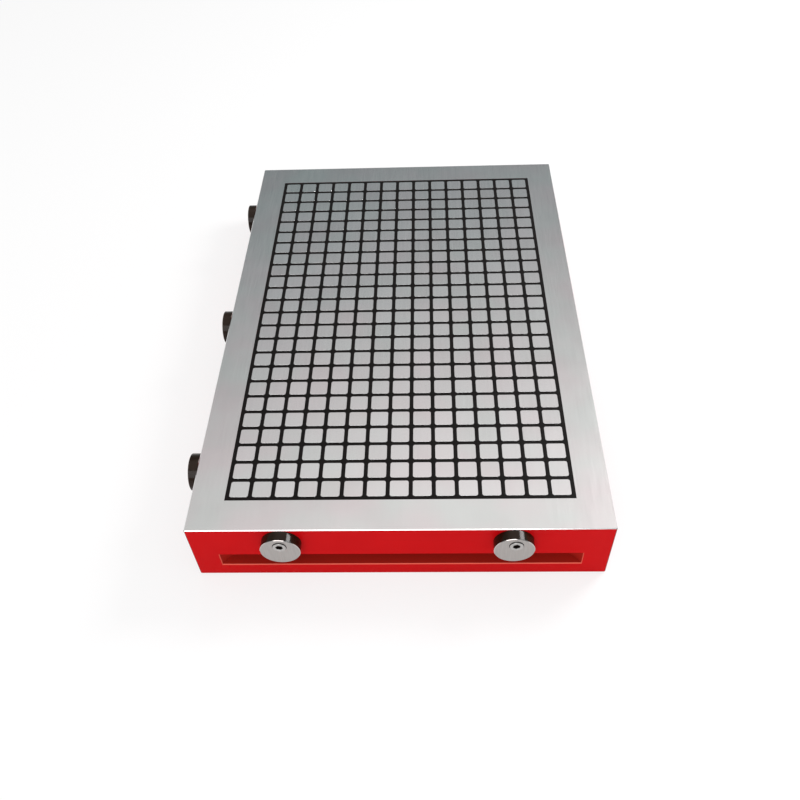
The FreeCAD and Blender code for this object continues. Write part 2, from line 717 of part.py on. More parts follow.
def stop_disc(name, x, y, tilt, on_left):
    """One disc, drawn about its screw with its centre hanging below."""
    body = new_body(name)
    outline = sketch_on(body, "XY_Plane", "0", name + "_outline")
    circle(outline, "0", "-Sizes.stop_eccentricity", "Sizes.stop_radius")
    pad(body, outline, "Sizes.stop_thickness", name + "_blank")
    chamfer(body, lambda e: e.Closed, "Sizes.stop_chamfer", name + "_rims")
    seat = sketch_on(body, "XY_Plane", "Sizes.stop_thickness", name + "_seat_outline")
    circle(seat, "0", "0", "Sizes.stop_counterbore_radius")
    pocket(body, seat, "Sizes.stop_thickness - Sizes.stop_floor", name + "_seat")
    hole = sketch_on(body, "XY_Plane", "Sizes.stop_floor", name + "_hole_outline")
    circle(hole, "0", "0", "Sizes.stop_bore_radius")
    pocket(body, hole, "Sizes.stop_floor", name + "_hole")
    turn = outwards(on_left).multiply(App.Rotation(Z_AXIS, size(tilt)))
    body.Placement = App.Placement(App.Vector(), turn)
    places = {"Placement.Base.x": x, "Placement.Base.y": y, "Placement.Base.z": STOP_SCREW_HEIGHT}
    bind(body, places)
    return body


def stop_screws():
    screw = cap_screw(
        size("Sizes.stop_screw_radius"),
        size("Sizes.stop_screw_length"),
        size("Sizes.stop_screw_head_radius"),
        size("Sizes.stop_screw_head_height"),
        size("Sizes.stop_screw_socket"),
        size("Sizes.stop_screw_socket_depth"),
    )
    screw.translate(App.Vector(0, 0, size("Sizes.stop_floor")))
    height = size(STOP_SCREW_HEIGHT)
    screws = [
        placed(screw, (size(x), size(y), height), outwards(on_left))
        for _, x, y, _, on_left in stop_places()
    ]
    return formed("stop_screws", Part.makeCompound(screws))


# ------------------------------------------------------------------ drive


def ring_between(name, inner, outer, radius, bore):
    """A plain bush or ring on the drive axis."""
    length = f"{outer} - {inner}"
    body = rod(name + "_blank", inner, radius, length)
    hole = rod(name + "_hole", inner, bore, length)
    return cut(name, body, [hole])


def shaft_seal_ends():
    middle = f"({HALF_WIDTH} - Sizes.flange_thickness / 2)"
    half = "Sizes.shaft_seal_width / 2"
    return f"({middle} - {half})", f"({middle} + {half})"


def bearing_flange():
    """The obround cover that holds the shaft in, with the seal's groove in its bore."""
    body = new_body("bearing_flange")
    outline = sketch_on(body, "YZ_Plane", FLANGE_INNER, "FlangeOutline")
    obround(outline, "Sizes.flange_reach", "Sizes.flange_radius - Sizes.fit_clearance")
    pad(body, outline, "Sizes.flange_thickness", "FlangePlate")
    hole = sketch_on(body, "YZ_Plane", HALF_WIDTH, "FlangeHoleOutline")
    circle(hole, "0", "Sizes.drive_height", "Sizes.shaft_radius + Sizes.flange_bore_gap")
    pocket(body, hole, "Sizes.flange_thickness", "FlangeHole")
    inner, outer = shaft_seal_ends()
    groove = sketch_on(body, "YZ_Plane", outer, "ShaftSealGrooveOutline")
    circle(groove, "0", "Sizes.drive_height", "Sizes.shaft_radius + Sizes.shaft_seal_depth")
    pocket(body, groove, f"{outer} - {inner}", "ShaftSealGroove")
    screws = sketch_on(body, "YZ_Plane", HALF_WIDTH, "FlangeScrewHoleOutline")
    for side in ("-", ""):
        y = f"{side}Sizes.flange_screw_offset"
        circle(screws, y, "Sizes.drive_height", "Sizes.flange_screw_radius")
    pocket(body, screws, "Sizes.flange_thickness", "FlangeScrewHoles")
    face = size(HALF_WIDTH)
    thin = size("Sizes.flange_screw_radius") * 2.1

    def is_screw_rim(edge):
        small = edge.Closed and edge.BoundBox.YLength < thin
        return small and lies_at(edge, "X", face)

    sink = "Sizes.flange_screw_head_radius - Sizes.flange_screw_radius"
    chamfer(body, is_screw_rim, sink, "FlangeCountersinks")
    return body


def flange_screws():
    screw = countersunk_screw(
        size("Sizes.flange_screw_radius"),
        size("Sizes.flange_screw_length"),
        size("Sizes.flange_screw_head_radius"),
        size("Sizes.flange_screw_socket"),
        size("Sizes.flange_screw_socket_depth"),
    )
    x = size(HALF_WIDTH)
    y = size("Sizes.flange_screw_offset")
    z = size("Sizes.drive_height")
    turn = App.Rotation(Y_AXIS, 90)
    screws = [placed(screw, (x, side * y, z), turn) for side in (-1, 1)]
    return formed("flange_screws", Part.makeCompound(screws))


def involute_angle(base, radius):
    """Angle unwound by an involute of the base circle at the given radius."""
    pressure = math.acos(base / radius)
    return math.tan(pressure) - pressure


PRESSURE_ANGLE = math.radians(20)


def pinion_profile():
    """The pinion's outline in its own plane, one tooth centred on +Y."""
    teeth = int(size("Sizes.pinion_teeth"))
    pitch_radius = size(PITCH_RADIUS)
    module = size(GEAR_MODULE)
    shift = size("Sizes.profile_shift")
    base = pitch_radius * math.cos(PRESSURE_ANGLE)
    tip = pitch_radius + module * (1 + shift)
    root = pitch_radius + module * (shift - size("Sizes.dedendum"))
    thickness = module * (math.pi / 2 + 2 * shift * math.tan(PRESSURE_ANGLE))
    thickness -= size("Sizes.pinion_thinning")
    half_base = thickness / (2 * pitch_radius) + involute_angle(base, pitch_radius)

    def point(radius, angle):
        return App.Vector(radius * math.sin(angle), radius * math.cos(angle), 0)

    def flank(middle, side, radius):
        return point(radius, middle + side * (half_base - involute_angle(base, radius)))

    edges = []
    for i in range(teeth):
        middle = 2 * math.pi * i / teeth
        following = 2 * math.pi * (i + 1) / teeth
        halfway = (base + tip) / 2
        left = [flank(middle, -1, r) for r in (base, halfway, tip)]
        right = [flank(middle, 1, r) for r in (tip, halfway, base)]
        foot = point(root, middle - half_base)
        other_foot = point(root, middle + half_base)
        next_foot = point(root, following - half_base)
        edges += [
            Part.LineSegment(foot, left[0]).toShape(),
            Part.Arc(*left).toShape(),
            Part.Arc(left[2], point(tip, middle), right[0]).toShape(),
            Part.Arc(*right).toShape(),
            Part.LineSegment(right[2], other_foot).toShape(),
            Part.Arc(other_foot, point(root, (middle + following) / 2), next_foot).toShape(),
        ]
    return Part.Face(Part.Wire(edges))


def along_drive(shape, start, turn=0):
    """Lays a shape drawn along +Z from z = 0 onto the drive axis, from x = start."""
    lay = App.Rotation(X_AXIS, turn).multiply(App.Rotation(Y_AXIS, 90))
    return placed(shape, (start, 0, size("Sizes.drive_height")), lay)


def drive_shaft():
    """Gear shaft in one piece: hexagon socket, collar, long shank, pinion and inner journal."""
    radius = size("Sizes.shaft_radius")
    root = size(f"{PITCH_RADIUS} + {GEAR_MODULE} * (Sizes.profile_shift - Sizes.dedendum)")
    half = size("Sizes.pinion_width / 2")
    gap = size("Sizes.inner_gap")
    tail = size(f"{INNER_BUSH_INNER} + Sizes.shaft_relief")
    outer = size(f"{HALF_WIDTH} - Sizes.shaft_recess")
    journal = size("Sizes.journal_radius")
    collar_inner = size(COLLAR_INNER)
    collar_outer = size(COLLAR_OUTER)
    steps = (
        (tail, -half, journal),
        (half, half + gap, root),
        (half + gap, outer, radius),
        (collar_inner, collar_outer, size("Sizes.collar_radius")),
    )
    pinion = along_drive(
        pinion_profile().extrude(App.Vector(0, 0, 2 * half)), -half, 90 - pinion_phase()
    )
    solid = pinion
    for start, end, step_radius in steps:
        solid = solid.fuse(along_drive(Part.makeCylinder(step_radius, end - start), start))
    depth = size("Sizes.drive_socket_depth")
    socket = hexagon(size("Sizes.drive_socket"), depth)
    solid = solid.removeSplitter().cut(along_drive(socket, outer - depth))
    return formed("drive_shaft", solid)


def rack_middle():
    """The rack straddles the shaft evenly over the whole travel, so at rest it sits half of it forward."""
    return -size(TRAVEL) / 2


def pinion_phase():
    """Degrees from upright towards +Y that put a pinion tooth in the rack's nearest space at rest."""
    pitch = math.pi * size(GEAR_MODULE)
    offset = rack_middle() % pitch
    return math.degrees(offset / size(PITCH_RADIUS))


# ------------------------------------------------------------------ magnet carriage, drawn at rest (OFF)


def carriage_block(low_x, low_y, low_z, width, length, height):
    """A box in the carriage, given where it stands when the carriage is at ON."""
    corner = App.Vector(low_x, low_y - size(TRAVEL), low_z)
    return Part.makeBox(width, length, height, corner)


def carriage_plan(body, name, level, half_x, half_y):
    plan = sketch_on(body, "XY_Plane", level, name)
    rectangle(
        plan, f"-{half_x}", half_x, f"-{half_y} - {TRAVEL}", f"{half_y} - {TRAVEL}"
    )
    return plan


def yoke_plate():
    """The steel plate that carries the magnets and closes their field."""
    body = new_body("yoke_plate")
    plan = carriage_plan(body, "YokePlan", YOKE_BOTTOM, CARRIAGE_HALF_X, CARRIAGE_HALF_Y)
    pad(body, plan, "Sizes.yoke_thickness", "YokeBlank")
    fillet(body, is_upright, "Sizes.carriage_radius", "YokeCorners")
    holes = sketch_on(body, "XY_Plane", YOKE_TOP, "RackScrewHolePlan")
    for side in ("-", ""):
        y = f"-{TRAVEL} / 2 + {side}Sizes.rack_screw_spacing / 2"
        circle(holes, "0", y, "Sizes.rack_screw_radius")
    pocket(body, holes, "Sizes.yoke_thickness", "RackScrewHoles")
    top = size(YOKE_TOP)
    sink = "Sizes.rack_screw_head_radius - Sizes.rack_screw_radius"
    is_rim = lambda e: e.Closed and lies_at(e, "Z", top)
    chamfer(body, is_rim, sink, "RackScrewCountersinks")
    return body


def carrier_frame():
    """The aluminium rim round the magnets."""
    body = new_body("carrier_frame")
    plan = carriage_plan(body, "CarrierPlan", YOKE_TOP, CARRIAGE_HALF_X, CARRIAGE_HALF_Y)
    pad(body, plan, f"{CARRIAGE_TOP} - {YOKE_TOP}", "CarrierBlank")
    fillet(body, is_upright, "Sizes.carriage_radius", "CarrierCorners")
    window = carriage_plan(body, "CarrierWindow", CARRIAGE_TOP, BAR_HALF_X, BAR_HALF_Y)
    pocket(body, window, f"{CARRIAGE_TOP} - {YOKE_TOP}", "CarrierOpening")
    return body


def bars(name, rows, start, width):
    """Bars across the carriage, one for each of the rows, start past the row's front edge."""
    pitch = size(PITCH)
    front = -size(BAR_HALF_Y)
    half = size(BAR_HALF_X)
    low = size(YOKE_TOP)
    height = size(CARRIAGE_TOP) - low
    shapes = [
        carriage_block(-half, front + row * pitch + start, low, 2 * half, width, height)
        for row in rows
    ]
    return formed(name, Part.makeCompound(shapes))


def magnet_bars():
    """Magnets of alternate polarity under the pole rows, with a spacer between each two."""
    rows = int(size(ROWS))
    side = size("Sizes.pole_side")
    gap = size("Sizes.pole_gap")
    return [
        bars("north_magnets", range(0, rows, 2), 0, side),
        bars("south_magnets", range(1, rows, 2), 0, side),
        bars("spacer_bars", range(rows - 1), side, gap),
    ]


def rack():
    """The rack under the yoke, teeth down, that the pinion drives."""
    module = size(GEAR_MODULE)
    pitch = math.pi * module
    reference = size(f"Sizes.drive_height + {PITCH_RADIUS} + {GEAR_MODULE} * Sizes.profile_shift")
    tips = reference - module
    roots = reference + size("Sizes.dedendum") * module
    half = (pitch / 2 - size("Sizes.rack_thinning")) / 2
    at_tip = half - module * math.tan(PRESSURE_ANGLE)
    at_root = half + (roots - reference) * math.tan(PRESSURE_ANGLE)
    back = size(YOKE_BOTTOM)
    end = size(RACK_HALF)
    middle = rack_middle()
    x = -size("Sizes.rack_width") / 2
    outline = [(-end, back), (-end, roots)]
    for i in range(int(size("Sizes.rack_teeth"))):
        tooth = -end + (i + 0.5) * pitch
        outline += [(tooth - at_root, roots), (tooth - at_tip, tips)]
        outline += [(tooth + at_tip, tips), (tooth + at_root, roots)]
    outline += [(end, roots), (end, back), (-end, back)]
    points = [App.Vector(x, middle + y, z) for y, z in outline]
    bar = Part.Face(Part.makePolygon(points)).extrude(App.Vector(-2 * x, 0, 0))
    reach = size("Sizes.rack_screw_length - Sizes.yoke_thickness") + 0.5
    radius = size("Sizes.rack_screw_radius + Sizes.thread_clearance")
    for y in rack_screw_middles():
        bar = bar.cut(Part.makeCylinder(radius, reach, App.Vector(0, y, back - reach)))
    return formed("rack", bar)


def rack_screw_middles():
    spacing = size("Sizes.rack_screw_spacing")
    return [rack_middle() + side * spacing / 2 for side in (-1, 1)]


def rack_screws():
    screw = countersunk_screw(
        size("Sizes.rack_screw_radius"),
        size("Sizes.rack_screw_length"),
        size("Sizes.rack_screw_head_radius"),
        size("Sizes.rack_screw_socket"),
        size("Sizes.rack_screw_socket_depth"),
    )
    top = size(YOKE_TOP)
    screws = [placed(screw, (0, y, top), App.Rotation()) for y in rack_screw_middles()]
    return formed("rack_screws", Part.makeCompound(screws))


# ------------------------------------------------------------------ assembly and export


def build():
    poles = pole_blocks()
    seal_inner, seal_outer = shaft_seal_ends()
    shaft_clear = "Sizes.shaft_radius + Sizes.bush_clearance"
    parts = [
        base_housing(),
        top_frame(),
        poles,
        resin_grid(poles),
        panel_seal(),
        panel_screws(),
        wear_strip("wear_strip_left", "-"),
        wear_strip("wear_strip_right", ""),
        side_guide("side_guide_left", True),
        side_guide("side_guide_right", False),
        ring_between("outer_bush", BUSH_INNER, BUSH_OUTER, "Sizes.outer_bush_radius", shaft_clear),
        ring_between(
            "inner_bush",
            INNER_BUSH_INNER,
            INNER_BUSH_OUTER,
            "Sizes.inner_bush_radius",
            "Sizes.journal_radius + Sizes.bush_clearance",
        ),
        bearing_flange(),
        flange_screws(),
        ring_between(
            "shaft_seal",
            seal_inner,
            seal_outer,
            "Sizes.shaft_radius + Sizes.shaft_seal_depth",
            shaft_clear,
        ),
        stop_screws(),
        drive_shaft(),
        yoke_plate(),
        carrier_frame(),
        rack(),
        rack_screws(),
    ]
    parts += magnet_bars()
    parts += [stop_disc(*place) for place in stop_places()]
    doc.recompute()
    return parts


def check(parts):
    """Stops the build if any object is in error or any shape is unsound."""
    for thing in doc.Objects:
        if "Invalid" in thing.State or "Error" in thing.State:
            raise ValueError(f"{thing.Name} is in error: {thing.State}")
    for part in parts:
        shape = part.Shape
        if shape.isNull() or not shape.isValid() or not shape.Solids:
            raise ValueError(f"{part.Label} has no sound solid")


def export(parts):
    os.makedirs("parts", exist_ok=True)
    for part in parts:
        part.Shape.exportStep(os.path.join("parts", part.Label + ".step"))


model = build()
check(model)
export(model)
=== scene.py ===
"""Looks for the magnetic chuck: materials, round-cornered poles, stop screws, floor, lights and camera."""

import json
import math
import random

import bpy
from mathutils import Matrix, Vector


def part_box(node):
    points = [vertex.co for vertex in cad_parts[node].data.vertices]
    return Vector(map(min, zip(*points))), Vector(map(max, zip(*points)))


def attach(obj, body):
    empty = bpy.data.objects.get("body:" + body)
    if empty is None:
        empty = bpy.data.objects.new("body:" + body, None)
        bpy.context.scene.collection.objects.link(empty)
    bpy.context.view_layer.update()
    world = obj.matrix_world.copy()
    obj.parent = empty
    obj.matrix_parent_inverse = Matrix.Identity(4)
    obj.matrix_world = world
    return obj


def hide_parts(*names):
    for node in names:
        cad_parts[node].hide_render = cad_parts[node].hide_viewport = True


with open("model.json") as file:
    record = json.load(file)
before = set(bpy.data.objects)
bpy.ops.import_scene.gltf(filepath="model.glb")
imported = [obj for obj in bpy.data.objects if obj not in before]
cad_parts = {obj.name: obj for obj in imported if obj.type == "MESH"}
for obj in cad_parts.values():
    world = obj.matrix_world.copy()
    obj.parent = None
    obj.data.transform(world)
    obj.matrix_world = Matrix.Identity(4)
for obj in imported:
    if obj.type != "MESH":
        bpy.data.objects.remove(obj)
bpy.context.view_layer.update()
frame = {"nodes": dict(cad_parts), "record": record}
nodes = frame["nodes"]
housing_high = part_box("base_housing")[1]
random.seed(11)

MM = 0.001
POLE_SIDE = 18 * MM
POLE_GAP = 4 * MM
PITCH = POLE_SIDE + POLE_GAP
POLE_RADIUS = 2 * MM
POLE_EDGE = 0.05 * MM
TONE_SPREAD = 0.45
RESIN_SUNK = 0.03 * MM
RESIN_DISH = 0.10 * MM
RESIN_GAP = 0.02 * MM
ARC_STEPS = 5


# ------------------------------------------------------------------ shader helpers


class Shader:
    """A material with one Principled shader and short calls for the nodes that feed it."""

    def __init__(self, name):
        self.material = bpy.data.materials.new(name)
        self.material.use_nodes = True
        self.tree = self.material.node_tree
        self.surface = self.tree.nodes["Principled BSDF"]
        self.coordinates = self.tree.nodes.new("ShaderNodeTexCoord")

    def set(self, **constants):
        for name, value in constants.items():
            self.surface.inputs[name.replace("_", " ")].default_value = value

    def feed(self, socket, name):
        self.tree.links.new(socket, self.surface.inputs[name])

    def noise(self, scale, detail=4.0, stretch=(1, 1, 1)):
        """Noise in the part's own coordinates, in cycles per metre."""
        mapping = self.tree.nodes.new("ShaderNodeMapping")
        mapping.inputs["Scale"].default_value = stretch
        self.tree.links.new(self.coordinates.outputs["Object"], mapping.inputs["Vector"])
        texture = self.tree.nodes.new("ShaderNodeTexNoise")
        texture.inputs["Scale"].default_value = scale
        texture.inputs["Detail"].default_value = detail
        self.tree.links.new(mapping.outputs["Vector"], texture.inputs["Vector"])
        return texture.outputs["Fac"]

    def remap(self, socket, low, high, to_low, to_high):
        node = self.tree.nodes.new("ShaderNodeMapRange")
        values = (low, high, to_low, to_high)
        for name, value in zip(("From Min", "From Max", "To Min", "To Max"), values):
            node.inputs[name].default_value = value
        self.tree.links.new(socket, node.inputs["Value"])
        return node.outputs["Result"]

    def spread(self, noise, low=0.0, high=1.0):
        """Stretches a noise's usual values, 0.3 to 0.7, over the given range."""
        return self.remap(noise, 0.3, 0.7, low, high)

    def math(self, operation, first, second=0.0):
        node = self.tree.nodes.new("ShaderNodeMath")
        node.operation = operation
        for index, value in enumerate((first, second)):
            if isinstance(value, (int, float)):
                node.inputs[index].default_value = value
            else:
                self.tree.links.new(value, node.inputs[index])
        return node.outputs["Value"]

    def blend(self, factor, first, second, kind="MIX"):
        """Mixes two colours, each a socket or an (r, g, b)."""
        node = self.tree.nodes.new("ShaderNodeMix")
        node.data_type = "RGBA"
        node.blend_type = kind
        if isinstance(factor, (int, float)):
            node.inputs["Factor"].default_value = factor
        else:
            self.tree.links.new(factor, node.inputs["Factor"])
        colour_inputs = [s for s in node.inputs if s.type == "RGBA"]
        for socket, value in zip(colour_inputs, (first, second)):
            if isinstance(value, tuple):
                socket.default_value = (*value, 1)
            else:
                self.tree.links.new(value, socket)
        return next(s for s in node.outputs if s.type == "RGBA")

    def mix(self, factor, first, second):
        """first where the factor is 0, second where it is 1, for plain numbers."""
        span = self.math("SUBTRACT", second, first)
        return self.math("ADD", first, self.math("MULTIPLY", span, factor))

    def normal(self, axis):
        """How far the surface faces along an axis of the part, either way."""
        split = self.tree.nodes.new("ShaderNodeSeparateXYZ")
        self.tree.links.new(self.coordinates.outputs["Normal"], split.inputs["Vector"])
        return split.outputs[axis]

    def place(self, axis):
        split = self.tree.nodes.new("ShaderNodeSeparateXYZ")
        self.tree.links.new(self.coordinates.outputs["Object"], split.inputs["Vector"])
        return split.outputs[axis]

    def attribute(self, name):
        node = self.tree.nodes.new("ShaderNodeAttribute")
        node.attribute_name = name
        return node.outputs["Fac"]

    def over(self, socket, limit):
        return self.math("GREATER_THAN", socket, limit)

    def under(self, socket, limit):
        return self.math("LESS_THAN", socket, limit)

    def both(self, first, second):
        """1 where two masks are 1."""
        return self.math("MULTIPLY", first, second)

    def bump(self, height, strength, distance):
        node = self.tree.nodes.new("ShaderNodeBump")
        node.inputs["Strength"].default_value = strength
        node.inputs["Distance"].default_value = distance
        self.tree.links.new(height, node.inputs["Height"])
        self.feed(node.outputs["Normal"], "Normal")


def ground_look(shader, dark, light):
    """Colour, roughness and height of a surface-ground face, with its lay along Y."""
    lay = shader.noise(1.0, 3.0, (900, 30, 900))
    cloud = shader.noise(14.0, 3.0)
    streaks = shader.math("MULTIPLY", lay, 0.35)
    clouds = shader.math("MULTIPLY", cloud, 0.65)
    mixed = shader.math("ADD", streaks, clouds)
    colour = shader.blend(shader.remap(mixed, 0.35, 0.65, 0, 1), dark, light)
    stain = shader.remap(shader.noise(16.0, 2.0), 0.35, 0.65, 0, 1)
    tint = shader.blend(stain, (0.955, 1.0, 0.985), (1.0, 0.955, 0.965))
    return shader.blend(1.0, colour, tint, "MULTIPLY"), shader.spread(lay, 0.19, 0.25), lay


def paint_look(shader):
    """Colour, roughness and height of the red enamel, with a faint orange peel."""
    cloud = shader.noise(22.0, 3.0)
    peel = shader.noise(520.0, 2.0)
    colour = shader.blend(shader.spread(cloud), (0.53, 0.003, 0.005), (0.56, 0.004, 0.006))
    roughness = shader.spread(cloud, 0.3, 0.36)
    return colour, roughness, peel


def edge_mask(shader):
    """1 on chamfered edges, which face two axes at once."""
    total = 0.0
    for axis in "XYZ":
        facing = shader.math("ABSOLUTE", shader.normal(axis))
        total = shader.math("ADD", shader.math("POWER", facing, 4.0), total)
    return shader.under(total, 0.75)


STEEL_DARK = (0.72, 0.715, 0.71)
STEEL_LIGHT = (0.79, 0.785, 0.78)
# Painted shade: darker red on the outer chamfers.
SHADED_CHAMFER_RED = (0.16, 0.006, 0.004)
# Painted shade: darker red inside the grooves.
GROOVE_SHADE_RED = (0.36, 0.016, 0.010)
# Painted highlight: lighter red on the grooves' lips.
LIP_HIGHLIGHT_RED = (0.80, 0.13, 0.09)
ENAMEL_GLOSS = 0.02
SIDE_MARGIN = 15 * MM
FOOT_MARGIN = 4 * MM
LIP_DEPTH = 0.85 * MM
UNDERSIDE = 2 * MM


def coat(shader, bare, red, paint, steel):
    """Steel where bare is 1 and red elsewhere; paint is (roughness, height), steel a whole look."""
    steel_colour, steel_rough, lay = steel
    paint_rough, peel = paint
    shader.feed(shader.blend(bare, red, steel_colour), "Base Color")
    shader.feed(bare, "Metallic")
    shader.feed(shader.mix(bare, paint_rough, steel_rough), "Roughness")
    shader.set(Specular_IOR_Level=ENAMEL_GLOSS)
    shader.bump(shader.mix(bare, peel, lay), 0.05, 0.00003)


def frame_material():
    """Bare ground steel on top and along the top chamfer, red enamel down the sides, with painted shade
    darkening the side chamfers.
    """
    shader = Shader("frame_steel_and_enamel")
    steel = ground_look(shader, STEEL_DARK, STEEL_LIGHT)
    red, *paint = paint_look(shader)
    bare = shader.over(shader.normal("Z"), 0.5)
    # Painted shade: the side chamfers are darkened.
    corner = shader.both(edge_mask(shader), shader.under(shader.normal("Z"), 0.3))
    coat(shader, bare, shader.blend(corner, red, SHADED_CHAMFER_RED), paint, steel)
    return shader.material


def housing_material():
    """Red enamel with a bare ground underside; painted highlight on the grooves' lips, painted shade inside
    the grooves and on the outer chamfers.
    """
    shader = Shader("housing_enamel")
    red, *paint = paint_look(shader)
    steel = ground_look(shader, (0.48, 0.475, 0.47), (0.60, 0.595, 0.59))
    edge = edge_mask(shader)
    between = shader.under(shader.math("ABSOLUTE", shader.place("X")), housing_high[0] - SIDE_MARGIN)
    groove = shader.both(between, shader.over(shader.place("Z"), FOOT_MARGIN))
    sunk = shader.under(shader.math("ABSOLUTE", shader.place("Y")), housing_high[1] - LIP_DEPTH)
    outer = shader.math("SUBTRACT", 1.0, sunk)
    # Painted shade: darker red on the outer chamfers.
    red = shader.blend(shader.both(edge, outer), red, SHADED_CHAMFER_RED)
    # Painted shade: darker red inside the grooves.
    red = shader.blend(shader.both(groove, sunk), red, GROOVE_SHADE_RED)
    # Painted highlight: lighter red on the grooves' lips.
    red = shader.blend(shader.both(shader.both(edge, groove), outer), red, LIP_HIGHLIGHT_RED)
    down = shader.under(shader.normal("Z"), -0.9)
    bare = shader.both(down, shader.under(shader.place("Z"), UNDERSIDE))
    coat(shader, bare, red, paint, steel)
    return shader.material


def pole_material():
    """Ground steel whose tone differs a little from pole to pole."""
    shader = Shader("pole_steel")
    colour, roughness, lay = ground_look(shader, STEEL_DARK, STEEL_LIGHT)
    colour = shader.blend(shader.attribute("tone"), colour, (0.86, 0.855, 0.86))
    shader.feed(colour, "Base Color")
    shader.feed(roughness, "Roughness")
    shader.set(Metallic=1.0)
    shader.bump(lay, 0.04, 0.00003)
    return shader.material


def resin_material():
    """Cast epoxy, ground with the poles: near black, with fine filler specks."""
    shader = Shader("cast_resin")
    specks = shader.noise(1500.0, 2.0)
    cloud = shader.noise(40.0, 3.0)
    dark, light = (0.0022, 0.0014, 0.0012), (0.0045, 0.003, 0.0026)
    colour = shader.blend(shader.spread(cloud), dark, light)
    colour = shader.blend(shader.over(specks, 0.68), colour, (0.016, 0.012, 0.011))
    shader.feed(colour, "Base Color")
    shader.feed(shader.spread(specks, 0.45, 0.6), "Roughness")
    shader.set(Specular_IOR_Level=0.14)
    shader.bump(specks, 0.15, 0.00003)
    return shader.material


FLAT = 0.93
SLANTED = 0.4


def stop_material(name, axis):
    """Ground faces, a black glossy rim and a light broken edge; axis is the disc's own. The rim's black is
    partly a blackened finish and partly painted shade and dark reflection; the light broken edge is a
    painted highlight.
    """
    shader = Shader(name)
    facing = shader.math("ABSOLUTE", shader.normal(axis))
    face = shader.over(facing, FLAT)
    edge = shader.both(shader.over(facing, SLANTED), shader.under(facing, FLAT))
    bright = shader.math("ADD", face, edge)
    grain = shader.noise(1.0, 3.0, (1400, 1400, 60) if axis == "Y" else (1400, 60, 1400))
    cloud = shader.noise(60.0, 3.0)
    ground = shader.blend(shader.spread(grain), (0.385, 0.365, 0.35), (0.435, 0.415, 0.40))
    # Near-black rim: partly a blackened finish, partly painted shade and dark reflection.
    rim = shader.blend(shader.spread(cloud), (0.012, 0.006, 0.003), (0.022, 0.013, 0.008))
    colour = shader.blend(face, rim, ground)
    # Painted highlight: lighter colour on the broken edge.
    colour = shader.blend(edge, colour, (0.62, 0.56, 0.54))
    shader.feed(colour, "Base Color")
    shader.feed(shader.mix(face, shader.spread(cloud, 0.12, 0.18), 0.34), "Roughness")
    shader.feed(bright, "Metallic")
    shader.set(Specular_IOR_Level=0.16)
    shader.bump(grain, 0.05, 0.00003)
    return shader.material


def screw_material():
    """Cap screws with a bright ground face; the black on the head's sides is partly black oxide and partly
    painted shade of the counterbore gap, and the black socket is painted shade.
    """
    shader = Shader("cap_screw_steel")
    dark = shader.attribute("oxide_and_shade")
    grain = shader.noise(700.0, 3.0)
    ground = shader.blend(shader.spread(grain), (0.42, 0.41, 0.395), (0.52, 0.51, 0.50))
    # Black: partly black oxide on the head's sides, and painted shade there and in the socket.
    black = shader.blend(shader.spread(grain), (0.006, 0.004, 0.003), (0.014, 0.009, 0.006))
    shader.feed(shader.blend(dark, ground, black), "Base Color")
    shader.feed(shader.mix(dark, 0.3, shader.spread(grain, 0.16, 0.24)), "Roughness")
    shader.feed(shader.math("SUBTRACT", 1.0, dark), "Metallic")
    shader.set(Specular_IOR_Level=0.25)
    shader.bump(grain, 0.08, 0.00003)
    return shader.material


def metal_material(name, dark, light, rough_low, rough_high, stretch=(1, 1, 1), scale=300.0):
    """A machined or plated metal: two tones, uneven gloss and a fine surface."""
    shader = Shader(name)
    grain = shader.noise(scale, 4.0, stretch)
    cloud = shader.noise(35.0, 3.0)
    colour = shader.blend(shader.spread(cloud), dark, light)
    shader.feed(colour, "Base Color")
    shader.feed(shader.spread(grain, rough_low, rough_high), "Roughness")
    shader.set(Metallic=1.0)
    shader.bump(grain, 0.12, 0.00004)
    return shader.material


def rubber_material():
    shader = Shader("seal_rubber")
    grain = shader.noise(900.0, 3.0)
    colour = shader.blend(shader.spread(grain), (0.012, 0.012, 0.012), (0.03, 0.03, 0.03))
    shader.feed(colour, "Base Color")
    shader.feed(shader.spread(grain, 0.6, 0.8), "Roughness")
    shader.bump(grain, 0.2, 0.00005)
    return shader.material


# ------------------------------------------------------------------ pole grid


def pole_outline(inset):
    """Corners of a pole's outline in order, pulled in by inset, as (x, y) about its centre."""
    half = POLE_SIDE / 2 - inset
    radius = POLE_RADIUS - inset
    points = []
    for corner in range(4):
        start = corner * math.pi / 2
        centre_x = (half - radius) * (1 if corner in (0, 3) else -1)
        centre_y = (half - radius) * (1 if corner in (0, 1) else -1)
        for step in range(ARC_STEPS):
            angle = start + step / (ARC_STEPS - 1) * math.pi / 2
            points.append((centre_x + radius * math.cos(angle), centre_y + radius * math.sin(angle)))
    return points


def grid_middles():
    low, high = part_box("pole_blocks")
    columns = round((high[0] - low[0] + POLE_GAP) / PITCH)
    rows = round((high[1] - low[1] + POLE_GAP) / PITCH)
    for column in range(columns):
        for row in range(rows):
            x = low[0] + POLE_SIDE / 2 + column * PITCH
            y = low[1] + POLE_SIDE / 2 + row * PITCH
            yield x, y, column in (0, columns - 1), row in (0, rows - 1)


def new_object(name, vertices, faces, material):
    mesh = bpy.data.meshes.new(name)
    mesh.from_pydata(vertices, [], faces)
    mesh.materials.append(material)
    mesh.validate()
    piece = bpy.data.objects.new(name, mesh)
    bpy.context.scene.collection.objects.link(piece)
    return piece


